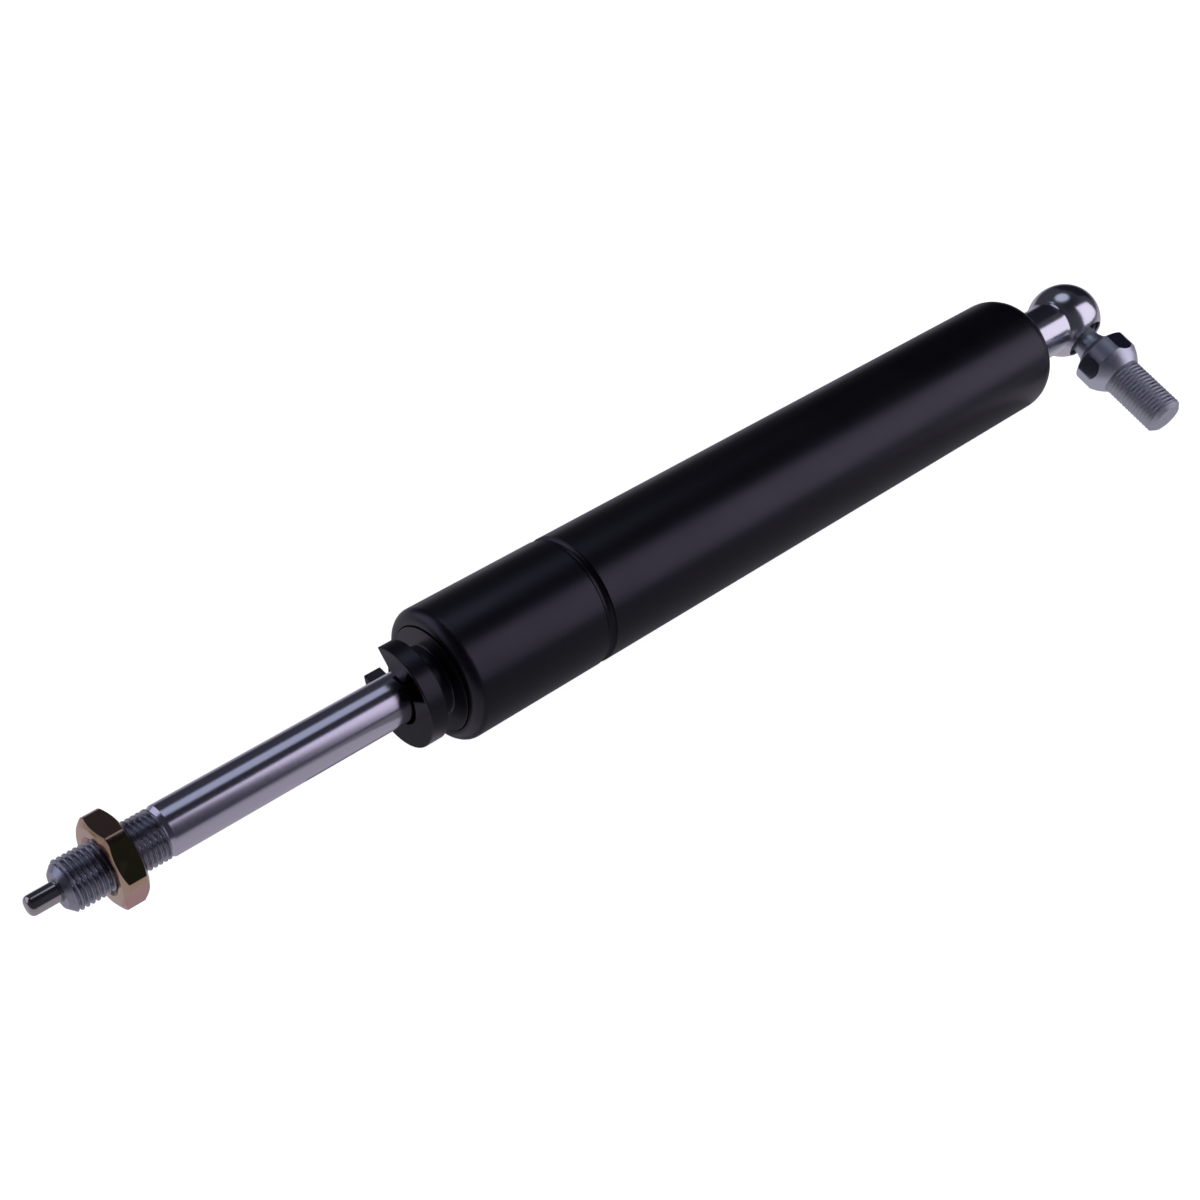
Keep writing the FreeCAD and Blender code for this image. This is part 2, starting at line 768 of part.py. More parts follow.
def opened_ball(name, ball, hollow_radius, mouth_radius, face):
    """Hollows a ball, opens it along X and cuts it flat at the face plane."""
    hollow = primitive("Sphere", f"{name}_hollow", FreeCAD.Placement(), Radius=hollow_radius)
    mouth = primitive("Cylinder", f"{name}_mouth", along(MOUTH), Radius=mouth_radius, Height=d.socket_dia)
    flat = primitive("Cylinder", f"{name}_flat", along(MOUTH, face), Radius=d.socket_dia, Height=d.socket_dia)
    return cut(f"{name}_opened", ball, joined(f"{name}_tools", hollow, mouth, flat))


def ball_joint():
    """Chromed ball socket on the end plug's stud, and the liner that the stud's ball turns in."""
    radius = d.socket_dia / 2
    mouth = d.socket_mouth_dia / 2
    hollow = radius - d.socket_wall
    face = (radius * radius - mouth * mouth).root()
    ball = primitive("Sphere", "socket_ball", FreeCAD.Placement(), Radius=radius)
    neck_place = FreeCAD.Placement(FreeCAD.Vector(tail.number, 0, 0), ALONG_X)
    neck = primitive("Cylinder", "socket_neck", neck_place, Radius=d.socket_neck_dia / 2, Height=d.ball_reach)
    hole = primitive("Cylinder", "socket_hole", neck_place, Radius=d.plug_stud_dia / 2 + d.bore_gap,
                     Height=d.plug_stud_length + d.loose_gap)
    outer = cut("socket_bored", joined("socket_outer", ball, neck), hole)
    subpart(opened_ball("socket", outer, hollow, mouth, face), "ball_socket")
    liner_outer = hollow - d.bore_gap
    liner_ball = primitive("Sphere", "liner_ball", FreeCAD.Placement(), Radius=liner_outer)
    liner_face = (liner_outer * liner_outer - mouth * mouth).root()
    liner_inner = liner_outer - d.seat_liner_wall
    liner = opened_ball("liner", liner_ball, liner_inner, d.liner_mouth_dia / 2, liner_face)
    subpart(liner, "ball_seat")


def ball_stud():
    """Plated stud: ball, neck, round collar with four flats, and a thread."""
    thread = d.stud_thread_dia / 2
    neck = d.stud_neck_dia / 2
    body = turned("stud_body", [
        (0, 0),
        (0, neck),
        (d.stud_neck_end, neck),
        (d.stud_collar_start, d.stud_flare_dia / 2),
        (d.stud_collar_end, d.stud_flare_dia / 2),
        (d.stud_collar_end, thread),
        (d.stud_reach - d.stud_tip_chamfer, thread),
        (d.stud_reach, thread - d.stud_tip_chamfer),
        (d.stud_reach, 0),
    ])
    first = d.stud_collar_end + d.stud_thread_pitch - d.stud_thread_mouth
    count = ((d.stud_reach - d.stud_tip_chamfer - first) / d.stud_thread_pitch).whole()
    vee = vee_groove(first, d.stud_thread_mouth, d.stud_thread_depth, thread)
    grooved(body, vee, count, d.stud_thread_pitch)
    ball = primitive("Sphere", "stud_ball", FreeCAD.Placement(), Radius=d.ball_dia / 2)
    widest = d.stud_collar_dia / 2
    face = d.stud_collar_face_dia / 2
    length = d.stud_collar_end - d.stud_collar_start
    run = d.stud_collar_round
    collar = flatted("stud", 4, d.stud_flats / math.sqrt(2), length, [
        (0, 0),
        (0, d.stud_flare_dia / 2),
        (d.stud_collar_cone, widest),
        (length - run, widest, -d.stud_collar_arc),
        (length, face),
        (length, 0),
    ])
    collar.Placement = FreeCAD.Placement(FreeCAD.Vector(), FreeCAD.Rotation(X, d.stud_flats_turn.number))
    collar.setExpression("Placement.Base.x", d.stud_collar_start.text)
    stud = joined("stud_whole", body, ball, collar)
    lean = FreeCAD.Rotation(X, d.mouth_drop.number) * FreeCAD.Rotation(Z, -90 - d.stud_tilt.number)
    stud.Placement = FreeCAD.Placement(FreeCAD.Vector(), lean)
    subpart(stud, "ball_stud")


# The socket's mouth faces -Y and drops below level, so that the stud reaches the floor beside the tube.
MOUTH = FreeCAD.Rotation(X, d.mouth_drop.number) * FreeCAD.Rotation(Z, -90)

pressure_tube()
front_collar()
wiper_ring()
washer("seal_backing_washer", collar_end)
rod_seal()
washer("seal_support_washer", support_start)
rod_guide()
stop_washer()
piston_rod()
piston()
valve_body()
release_train()
lock_nut()
separator()
end_plug()
ball_joint()
ball_stud()
doc.recompute()

for thing in doc.Objects:
    if {"Invalid", "Error"} & set(thing.State):
        raise RuntimeError(f"{thing.Label} failed: {thing.State}")
for thing in subparts:
    if thing.Shape.isNull() or not thing.Shape.isValid():
        raise RuntimeError(f"{thing.Label} has no valid shape")

os.makedirs("parts", exist_ok=True)
for thing in subparts:
    thing.Shape.exportStep(f"parts/{thing.Label}.step")
    box = thing.Shape.BoundBox
    print(f"{thing.Label}: {len(thing.Shape.Solids)} solids, {thing.Shape.Volume:.1f} mm3, "
          f"x {box.XMin:.2f} to {box.XMax:.2f}")
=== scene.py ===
import bmesh
import bpy
import json
import math
from mathutils import Matrix, Vector


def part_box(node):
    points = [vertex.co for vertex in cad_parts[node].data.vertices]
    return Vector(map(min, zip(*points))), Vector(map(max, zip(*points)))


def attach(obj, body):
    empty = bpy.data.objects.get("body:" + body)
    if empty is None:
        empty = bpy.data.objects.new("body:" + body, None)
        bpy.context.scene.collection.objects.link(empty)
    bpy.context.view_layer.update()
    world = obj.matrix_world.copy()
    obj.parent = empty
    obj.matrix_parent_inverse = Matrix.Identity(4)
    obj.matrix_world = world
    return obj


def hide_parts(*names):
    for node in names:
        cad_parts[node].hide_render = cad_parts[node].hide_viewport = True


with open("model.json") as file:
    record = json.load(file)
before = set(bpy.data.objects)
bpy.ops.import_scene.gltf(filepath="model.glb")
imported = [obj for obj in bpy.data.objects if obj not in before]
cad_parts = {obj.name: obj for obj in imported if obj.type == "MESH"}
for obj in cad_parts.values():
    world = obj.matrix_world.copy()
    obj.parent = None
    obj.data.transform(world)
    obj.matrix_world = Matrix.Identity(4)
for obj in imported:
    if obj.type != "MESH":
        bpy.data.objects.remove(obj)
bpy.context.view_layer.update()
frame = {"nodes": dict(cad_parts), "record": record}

# Pressure tube: drawn steel tube with a rolled bead, its rim and tail rolled in over the end pieces.
# It is painted black after closing, with a smooth stoved enamel that is a little soft in its gloss.
MM = 0.001
STEPS = 144
tube_low, tube_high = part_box("pressure_tube")
tube_front = tube_low.x / MM
tube_end = tube_high.x / MM
tube_radius = tube_high.z / MM
tube_bore = 12.5
tube_wall = 1.5
rim_mouth = 11.2
rim_roll = 2.3
tail_mouth = 6.9
tail_roll = 5.0
bead_place = tube_front + 34.4
bead_half = 1.15
bead_depth = 0.95
inner_bead_half = 1.3
inner_bead_depth = 0.7


def linear(code):
    """Linear colour of an sRGB hex value."""
    parts = [int(code[place:place + 2], 16) / 255 for place in (1, 3, 5)]
    return [part / 12.92 if part <= 0.04045 else ((part + 0.055) / 1.055) ** 2.4 for part in parts] + [1.0]


def add(tree, kind, inputs=None, **settings):
    """Adds a node with its settings, and sets or links its inputs."""
    made = tree.nodes.new(kind)
    for name, value in settings.items():
        setattr(made, name, value)
    for name, value in (inputs or {}).items():
        if isinstance(value, bpy.types.NodeSocket):
            tree.links.new(value, made.inputs[name])
        else:
            made.inputs[name].default_value = value
    return made


def blank_material(name):
    """A material with an empty node tree, and that tree."""
    made = bpy.data.materials.new(name)
    made.use_nodes = True
    made.node_tree.nodes.clear()
    return made, made.node_tree


def rounded(corners):
    """Profile points in millimetres, with each corner (x, r, radius) rounded off."""
    points = []
    for place, (x, r, radius) in enumerate(corners):
        here = Vector((x, r))
        if radius == 0:
            points.append((x, r))
            continue
        before = (Vector(corners[place - 1][:2]) - here).normalized()
        after = (Vector(corners[(place + 1) % len(corners)][:2]) - here).normalized()
        half = before.angle(after) / 2
        centre = here + (before + after).normalized() * (radius / math.sin(half))
        start = here + before * (radius / math.tan(half)) - centre
        end = here + after * (radius / math.tan(half)) - centre
        for part in range(9):
            point = centre + start.lerp(end, part / 8).normalized() * radius
            points.append((point.x, point.y))
    return points


def turned(points, closed=True):
    """A surface turned about X. A point is (x, r) in millimetres, or gives that for an angle."""
    shell = bmesh.new()
    rings = []
    for point in points:
        ring = []
        for step in range(STEPS):
            angle = 2 * math.pi * step / STEPS
            x, r = point(angle) if callable(point) else point
            if r < 1e-6 and ring:
                ring.append(ring[0])
                continue
            ring.append(shell.verts.new((x * MM, r * math.cos(angle) * MM, r * math.sin(angle) * MM)))
        rings.append(ring)
    pairs = list(zip(rings, rings[1:]))
    if closed:
        pairs.append((rings[-1], rings[0]))
    for ring, following in pairs:
        for step in range(STEPS):
            ahead = (step + 1) % STEPS
            corners = list(dict.fromkeys([ring[step], ring[ahead], following[ahead], following[step]]))
            if len(corners) > 2:
                shell.faces.new(corners)
    return shell


def finished(name, shell, material, sharp=32):
    """Closes the seams of a shell and makes it a shaded object at the origin."""
    bmesh.ops.remove_doubles(shell, verts=shell.verts, dist=1e-7)
    bmesh.ops.recalc_face_normals(shell, faces=shell.faces)
    mesh = bpy.data.meshes.new(name)
    shell.to_mesh(mesh)
    shell.free()
    mesh.shade_smooth()
    mesh.set_sharp_from_angle(angle=math.radians(sharp))
    made = bpy.data.objects.new(name, mesh)
    made.data.materials.append(material)
    bpy.context.scene.collection.objects.link(made)
    return made


# Stoved black enamel: a smooth coat over satin steel. The eye gets a broad soft highlight, a faint
# orange peel about 1.6 mm across, and a gloss that changes a little over about 14 mm.
black_enamel, tree = blank_material("stoved black enamel")
place = add(tree, "ShaderNodeTexCoord")
peel = add(tree, "ShaderNodeTexNoise",
           {"Vector": place.outputs["Object"], "Scale": 1 / (1.6 * MM), "Detail": 2.0})
mottle = add(tree, "ShaderNodeTexNoise",
             {"Vector": place.outputs["Object"], "Scale": 1 / (14 * MM), "Detail": 3.0})
gloss = add(tree, "ShaderNodeMapRange",
            {"Value": mottle.outputs["Fac"], "From Min": 0.3, "From Max": 0.7,
             "To Min": 0.31, "To Max": 0.37})
bump = add(tree, "ShaderNodeBump",
           {"Height": peel.outputs["Fac"], "Strength": 0.05, "Distance": 0.02 * MM})
surface = add(tree, "ShaderNodeBsdfPrincipled",
              {"Base Color": linear("#040405"), "Roughness": gloss.outputs["Result"],
               "Normal": bump.outputs["Normal"], "IOR": 1.54, "Specular Tint": linear("#f0eaff")})
add(tree, "ShaderNodeOutputMaterial", {"Surface": surface.outputs["BSDF"]})


def bead(half, depth, radius, side):
    """Points of the bead's arc, sunk below a radius, towards one side."""
    sweep = (half ** 2 + depth ** 2) / (2 * depth)
    places = [half * side * part / 8 for part in range(-8, 9)]
    return [(bead_place + x, radius - depth + sweep - math.sqrt(sweep ** 2 - x ** 2)) for x in places]


tube_profile = rounded([
    (tube_front, rim_mouth, 0.05),
    (tube_front, tube_radius, rim_roll),
    (tube_front + rim_roll + 0.3, tube_radius, 0),
    (bead_place - 2, tube_radius, 0),
])
tube_profile += bead(bead_half, bead_depth, tube_radius, 1)
tube_profile += rounded([
    (bead_place + 2, tube_radius, 0),
    (tube_end - tail_roll - 0.3, tube_radius, 0),
    (tube_end, tube_radius, tail_roll),
    (tube_end, tail_mouth, 0.2),
    (tube_end - tube_wall, tail_mouth, 0),
    (tube_end - tube_wall, tube_bore, 3.4),
    (bead_place + 8, tube_bore, 0),
])
tube_profile += bead(inner_bead_half, inner_bead_depth, tube_bore, -1)
tube_profile += [(tube_front + tube_wall, tube_bore), (tube_front + tube_wall, rim_mouth)]
tube = finished("painted_tube", turned(tube_profile), black_enamel)
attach(tube, "cylinder")
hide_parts("pressure_tube")

# Front collar: moulded plastic, snapped in before the rim was rolled. In front of a necked groove it has a
# ring with a gap between two claws and a pocket, which a release head locks on to. Its skin is glossy.
collar_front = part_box("front_collar")[0].x / MM
collar_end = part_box("front_collar")[1].x / MM
claw_rear = collar_front + 3.9
collar_radius = 10.6
collar_neck = 7.2
collar_shoulder = tube_front - 0.3
collar_through = rim_mouth - 0.2
collar_body = 12.45
hollow_radius = 5.6
rod_room = 5.35
wiper_front = collar_front + 9.0
wiper_rear = wiper_front + 4.3
wiper_seat = 8.0
gap_turn = math.radians(26)
gap_root = 2.9
gap_slope = 0.3443
pocket_radius = 9.8
pocket_depth = 3.4
pocket_first = math.radians(113)
pocket_last = math.radians(151)

# Moulded acetal: near-black glossy plastic with a flow pattern about 5 mm across and a fine grain.
black_moulding, tree = blank_material("moulded black plastic")
place = add(tree, "ShaderNodeTexCoord")
grain = add(tree, "ShaderNodeTexNoise",
            {"Vector": place.outputs["Object"], "Scale": 1 / (0.35 * MM), "Detail": 4.0})
flow = add(tree, "ShaderNodeTexNoise",
           {"Vector": place.outputs["Object"], "Scale": 1 / (5 * MM), "Detail": 2.0})
gloss = add(tree, "ShaderNodeMapRange",
            {"Value": flow.outputs["Fac"], "From Min": 0.3, "From Max": 0.7,
             "To Min": 0.28, "To Max": 0.36})
bump = add(tree, "ShaderNodeBump",
           {"Height": grain.outputs["Fac"], "Strength": 0.06, "Distance": 0.02 * MM})
surface = add(tree, "ShaderNodeBsdfPrincipled",
              {"Base Color": linear("#0c0c0e"), "Roughness": gloss.outputs["Result"],
               "Normal": bump.outputs["Normal"], "IOR": 1.5, "Specular Tint": linear("#f0eaff")})
add(tree, "ShaderNodeOutputMaterial", {"Surface": surface.outputs["BSDF"]})


def gap_edge(radius):
    """Angle between the gap's middle and its wall at a radius."""
    spread = 1 + gap_slope ** 2
    out = (math.sqrt(radius ** 2 * spread - gap_root ** 2) - gap_root * gap_slope) / spread
    return math.atan2(gap_root + gap_slope * out, out)


collar_shell = turned(rounded([
    (claw_rear - 0.4, hollow_radius, 0),
    (claw_rear - 0.4, collar_neck, 0),
    (collar_shoulder, collar_neck, 0.4),
    (collar_shoulder, collar_through, 0.1),
    (tube_front + tube_wall, collar_through, 0),
    (tube_front + tube_wall, collar_body, 0),
    (collar_end, collar_body, 0),
    (collar_end, rod_room, 0),
    (wiper_rear, rod_room, 0),
    (wiper_rear, wiper_seat, 0),
    (wiper_front, wiper_seat, 0),
    (wiper_front, hollow_radius, 0),
]))


def swept(radius, first, last, parts):
    """Points (radius, angle) of an arc about X."""
    return [(radius, first + (last - first) * part / parts) for part in range(parts + 1)]


def plate(outline, start, end, bevel):
    """Adds a plate along X to the collar, with an outline of (radius, angle) points and bevelled edges."""
    shell = bmesh.new()
    front, rear = [[shell.verts.new((x * MM, r * math.cos(turn) * MM, r * math.sin(turn) * MM))
                    for r, turn in outline] for x in (start, end)]
    for part in range(len(outline)):
        shell.faces.new([front[part - 1], front[part], rear[part], rear[part - 1]])
    shell.faces.new(front)
    shell.faces.new(rear)
    bmesh.ops.recalc_face_normals(shell, faces=shell.faces)
    edges = [edge for edge in shell.edges if edge.calc_face_angle(0) > math.radians(30)]
    bmesh.ops.bevel(shell, geom=edges, offset=bevel * MM, segments=3, profile=0.5, affect="EDGES")
    mesh = bpy.data.meshes.new("plate")
    shell.to_mesh(mesh)
    shell.free()
    collar_shell.from_mesh(mesh)
    bpy.data.meshes.remove(mesh)


outer_gap = gap_edge(collar_radius)
inner_gap = gap_edge(hollow_radius)
claw_outline = swept(collar_radius, gap_turn + outer_gap, gap_turn + 2 * math.pi - outer_gap, 96)
claw_outline += swept(hollow_radius, gap_turn + 2 * math.pi - inner_gap, pocket_last, 60)
claw_outline += swept(pocket_radius, pocket_last, pocket_first, 14)
claw_outline += swept(hollow_radius, pocket_first, gap_turn + inner_gap, 14)
plate(claw_outline, collar_front, claw_rear, 0.2)
pocket_floor = swept(collar_radius - 0.3, pocket_first - 0.02, pocket_last + 0.02, 14)
pocket_floor += swept(hollow_radius + 0.1, pocket_last + 0.02, pocket_first - 0.02, 14)
plate(pocket_floor, collar_front + pocket_depth, claw_rear - 0.05, 0.05)
collar = finished("claw_collar", collar_shell, black_moulding, sharp=12)
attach(collar, "cylinder")
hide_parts("front_collar")

# Piston rod: ground steel, hard chromed and polished, drilled through for the push rod. Its end is turned
# down and rolled with a fine thread that is left bare, and has a groove and a chamfer behind the thread.
rod_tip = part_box("piston_rod")[0].x / MM
rod_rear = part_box("piston_rod")[1].x / MM
rod_radius = 5.0
rod_bore = 1.95
thread_radius = 4.925
thread_length = 18.9
thread_end = rod_tip + thread_length
thread_tip = 1.4
groove_radius = 4.4
edge_break = 0.3
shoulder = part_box("piston")[0].x / MM
spigot_radius = 3.9

# Hard chrome: a mirror with a slight haze. It has faint grinding rings along the rod, about 0.5 mm apart.
rod_chrome, tree = blank_material("polished hard chrome")
place = add(tree, "ShaderNodeTexCoord")
along = add(tree, "ShaderNodeMapping",
            {"Vector": place.outputs["Object"], "Scale": (1 / (0.5 * MM), 30, 30)})
rings = add(tree, "ShaderNodeTexNoise",
            {"Vector": along.outputs["Vector"], "Scale": 1.0, "Detail": 2.0})
gloss = add(tree, "ShaderNodeMapRange",
            {"Value": rings.outputs["Fac"], "From Min": 0.3, "From Max": 0.7,
             "To Min": 0.19, "To Max": 0.21})
surface = add(tree, "ShaderNodeBsdfPrincipled",
              {"Base Color": linear("#c9c6d1"), "Metallic": 1.0, "Roughness": gloss.outputs["Result"]})
add(tree, "ShaderNodeOutputMaterial", {"Surface": surface.outputs["BSDF"]})

# Rolled steel thread: bare steel, greyer and duller than the chrome, with an oily film in patches about
# 1.2 mm across.
thread_steel, tree = blank_material("rolled steel thread")
place = add(tree, "ShaderNodeTexCoord")
film = add(tree, "ShaderNodeTexNoise",
           {"Vector": place.outputs["Object"], "Scale": 1 / (1.2 * MM), "Detail": 4.0})
shade = add(tree, "ShaderNodeValToRGB", {"Fac": film.outputs["Fac"]})
shade.color_ramp.elements[0].color = linear("#84858f")
shade.color_ramp.elements[1].color = linear("#b4b5bf")
gloss = add(tree, "ShaderNodeMapRange",
            {"Value": film.outputs["Fac"], "From Min": 0.3, "From Max": 0.7,
             "To Min": 0.24, "To Max": 0.34})
surface = add(tree, "ShaderNodeBsdfPrincipled",
              {"Base Color": shade.outputs["Color"], "Metallic": 1.0, "Roughness": gloss.outputs["Result"]})
add(tree, "ShaderNodeOutputMaterial", {"Surface": surface.outputs["BSDF"]})

# Thread rule: a grid wrapped round X whose radius dips once per pitch and turn, with a coned tip and a
# run-out where the grooves fade into the shank. Crests and roots are flat for a share of the pitch each side.
rows_per_pitch = 16.0
flat_share = 0.06
thread_rule = bpy.data.node_groups.new("rolled thread", "GeometryNodeTree")
thread_rule.interface.new_socket("Geometry", in_out="OUTPUT", socket_type="NodeSocketGeometry")
for size_name in ("Start", "Length", "Pitch", "Crest", "Depth", "Tip", "Runout"):
    thread_rule.interface.new_socket(size_name, in_out="INPUT", socket_type="NodeSocketFloat")
thread_rule.interface.new_socket("Material", in_out="INPUT", socket_type="NodeSocketMaterial")
given = add(thread_rule, "NodeGroupInput").outputs
rows = add(thread_rule, "ShaderNodeMath", {0: given["Length"], 1: given["Pitch"]}, operation="DIVIDE")
rows = add(thread_rule, "ShaderNodeMath",
           {0: rows.outputs[0], 1: rows_per_pitch, 2: 1.0}, operation="MULTIPLY_ADD")
grid = add(thread_rule, "GeometryNodeMeshGrid",
           {"Size X": given["Length"], "Size Y": 1.0, "Vertices X": rows.outputs[0], "Vertices Y": STEPS + 1})
spot = add(thread_rule, "ShaderNodeSeparateXYZ",
           {0: add(thread_rule, "GeometryNodeInputPosition").outputs[0]})
along = add(thread_rule, "ShaderNodeMath",
            {0: given["Length"], 1: 0.5, 2: spot.outputs["X"]}, operation="MULTIPLY_ADD")
turns = add(thread_rule, "ShaderNodeMath", {0: along.outputs[0], 1: given["Pitch"]}, operation="DIVIDE")
phase = add(thread_rule, "ShaderNodeMath",
            {0: turns.outputs[0], 1: spot.outputs["Y"]}, operation="SUBTRACT")
phase = add(thread_rule, "ShaderNodeMath", {0: phase.outputs[0]}, operation="FRACT")
phase = add(thread_rule, "ShaderNodeMath", {0: phase.outputs[0], 1: 0.5}, operation="SUBTRACT")
phase = add(thread_rule, "ShaderNodeMath", {0: phase.outputs[0]}, operation="ABSOLUTE")
dip = add(thread_rule, "ShaderNodeMapRange",
          {"Value": phase.outputs[0], "From Min": flat_share, "From Max": 0.5 - flat_share,
           "To Min": 0.0, "To Max": 1.0})
left = add(thread_rule, "ShaderNodeMath",
           {0: given["Length"], 1: along.outputs[0]}, operation="SUBTRACT")
fade = add(thread_rule, "ShaderNodeMath",
           {0: left.outputs[0], 1: given["Runout"]}, operation="DIVIDE", use_clamp=True)
dip = add(thread_rule, "ShaderNodeMath",
          {0: dip.outputs["Result"], 1: fade.outputs[0]}, operation="MULTIPLY")
dip = add(thread_rule, "ShaderNodeMath", {0: dip.outputs[0], 1: given["Depth"]}, operation="MULTIPLY")
radius = add(thread_rule, "ShaderNodeMath",
             {0: given["Crest"], 1: dip.outputs[0]}, operation="SUBTRACT")
cone = add(thread_rule, "ShaderNodeMath", {0: given["Crest"], 1: given["Tip"]}, operation="SUBTRACT")
cone = add(thread_rule, "ShaderNodeMath", {0: cone.outputs[0], 1: along.outputs[0]}, operation="ADD")
radius = add(thread_rule, "ShaderNodeMath",
             {0: radius.outputs[0], 1: cone.outputs[0]}, operation="MINIMUM")
angle = add(thread_rule, "ShaderNodeMath", {0: spot.outputs["Y"], 1: 2 * math.pi}, operation="MULTIPLY")
cosine = add(thread_rule, "ShaderNodeMath", {0: angle.outputs[0]}, operation="COSINE")
sine = add(thread_rule, "ShaderNodeMath", {0: angle.outputs[0]}, operation="SINE")
across = add(thread_rule, "ShaderNodeMath",
             {0: radius.outputs[0], 1: cosine.outputs[0]}, operation="MULTIPLY")
upward = add(thread_rule, "ShaderNodeMath",
             {0: radius.outputs[0], 1: sine.outputs[0]}, operation="MULTIPLY")
onward = add(thread_rule, "ShaderNodeMath", {0: given["Start"], 1: along.outputs[0]}, operation="ADD")
wrapped = add(thread_rule, "ShaderNodeCombineXYZ",
              {"X": onward.outputs[0], "Y": across.outputs[0], "Z": upward.outputs[0]})
formed = add(thread_rule, "GeometryNodeSetPosition",
             {"Geometry": grid.outputs["Mesh"], "Position": wrapped.outputs[0]})
real = add(thread_rule, "GeometryNodeRealizeInstances", {"Geometry": formed.outputs[0]})
coated = add(thread_rule, "GeometryNodeSetMaterial",
             {"Geometry": real.outputs[0], "Material": given["Material"]})
add(thread_rule, "NodeGroupOutput", {"Geometry": coated.outputs[0]})


def threaded(sizes, material):
    """The thread rule's mesh for sizes in millimetres."""
    mould = bpy.data.objects.new("thread", bpy.data.meshes.new("thread"))
    bpy.context.scene.collection.objects.link(mould)
    rule = mould.modifiers.new("thread", "NODES")
    rule.node_group = thread_rule
    keys = {item.name: item.identifier for item in thread_rule.interface.items_tree if item.in_out == "INPUT"}
    for name, value in sizes.items():
        rule[keys[name]] = value * MM
    rule[keys["Material"]] = material
    seen = mould.evaluated_get(bpy.context.evaluated_depsgraph_get())
    mesh = bpy.data.meshes.new_from_object(seen)
    mould.modifiers.remove(rule)
    bpy.data.objects.remove(mould)
    return mesh


thread_mesh = threaded({"Start": rod_tip, "Length": thread_length, "Pitch": 1.0, "Crest": thread_radius,
                        "Depth": 0.55, "Tip": thread_tip, "Runout": 0.4}, thread_steel)
rod_shell = turned([
    (thread_end, thread_radius),
    (thread_end, groove_radius),
    (thread_end + 0.1, groove_radius),
    (thread_end + 1.2, rod_radius),
    (thread_end + 1.3, rod_radius),
    (shoulder - edge_break, rod_radius),
    (shoulder, rod_radius - edge_break),
    (shoulder, spigot_radius),
    (rod_rear, spigot_radius),
    (rod_rear, rod_bore),
    (rod_tip + edge_break, rod_bore),
    (rod_tip, rod_bore + edge_break),
    (rod_tip, thread_radius - thread_tip),
], closed=False)
for face in rod_shell.faces:
    if face.calc_center_median().x / MM < thread_end + 0.01:
        face.material_index = 1
first_new = len(rod_shell.faces)
rod_shell.from_mesh(thread_mesh)
rod_shell.faces.ensure_lookup_table()
for face in rod_shell.faces[first_new:]:
    face.material_index = 1
rod = finished("chromed_rod", rod_shell, rod_chrome, sharp=20)
rod.data.materials.append(thread_steel)
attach(rod, "rod")
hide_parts("piston_rod")

# Release pin: a hardened steel pin with a rounded tip, ground to size. It runs free in the rod's bore, and
# pressing it opens the valve.
pin_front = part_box("release_pin")[0].x / MM
pin_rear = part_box("release_pin")[1].x / MM
pin_radius = 1.9

# Hardened steel: a warm grey, ground to a bright shine that mirrors the dark room. Its shade changes a little
# over about 1.5 mm.
pin_steel, tree = blank_material("hardened pin steel")
place = add(tree, "ShaderNodeTexCoord")
film = add(tree, "ShaderNodeTexNoise",
           {"Vector": place.outputs["Object"], "Scale": 1 / (1.5 * MM), "Detail": 3.0})
shade = add(tree, "ShaderNodeValToRGB", {"Fac": film.outputs["Fac"]})
shade.color_ramp.elements[0].color = linear("#a8a4a2")
shade.color_ramp.elements[1].color = linear("#c0bcb9")
surface = add(tree, "ShaderNodeBsdfPrincipled",
              {"Base Color": shade.outputs["Color"], "Metallic": 1.0, "Roughness": 0.13})
add(tree, "ShaderNodeOutputMaterial", {"Surface": surface.outputs["BSDF"]})
pin_profile = rounded([
    (pin_front, 0, 0),
    (pin_front, pin_radius, 0.95),
    (pin_rear, pin_radius, 0.2),
    (pin_rear, 0, 0),
])
pin = finished("dark_release_pin", turned(pin_profile), pin_steel)
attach(pin, "release")
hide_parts("release_pin")

# Lock nut: a thin hexagon nut, chamfered on both faces, that jams a release head on the thread.
# It is plated with zinc and passivated yellow; its turn from olive on top to pink below is painted light and
# shade by facing.
nut_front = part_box("lock_nut")[0].x / MM
nut_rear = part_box("lock_nut")[1].x / MM
nut_flats = 16.0
nut_face = 7.4
nut_round = 8.85
nut_bore = 4.965
nut_sink = 0.7
nut_slope = math.tan(math.radians(30))
soft_edge = 0.06
nut_corner = math.radians(112.0)


def flatted(sides, flats, angle, limit):
    """Radius of a bar with flat sides, at an angle from a corner, turned down to a limit."""
    part = 2 * math.pi / sides
    from_flat = angle % part - part / 2
    return min(flats / 2 / math.cos(from_flat), limit)


# Yellow zinc: a thin rainbow film over bright zinc. Its hue is painted light and shade by how far each face
# points up, which the mesh keeps as its film value: pink below, darker olive and brown on top. It is patchy
# over about 5 mm.
yellow_zinc, tree = blank_material("yellow passivated zinc")
place = add(tree, "ShaderNodeTexCoord")
patch = add(tree, "ShaderNodeTexNoise",
            {"Vector": place.outputs["Object"], "Scale": 1 / (5 * MM), "Detail": 3.0})
facing = add(tree, "ShaderNodeAttribute", attribute_name="film")
film = add(tree, "ShaderNodeMath", {0: patch.outputs["Fac"], 1: 0.5, 2: facing.outputs["Fac"]},
           operation="MULTIPLY_ADD")
film = add(tree, "ShaderNodeMapRange",
           {"Value": film.outputs[0], "From Min": -0.75, "From Max": 1.25,
            "To Min": 0.0, "To Max": 1.0})
shade = add(tree, "ShaderNodeValToRGB", {"Fac": film.outputs["Result"]})
shade.color_ramp.elements[0].position = 0.3
shade.color_ramp.elements[0].color = linear("#c08b7e")
shade.color_ramp.elements[1].position = 0.96
shade.color_ramp.elements[1].color = linear("#b5967f")
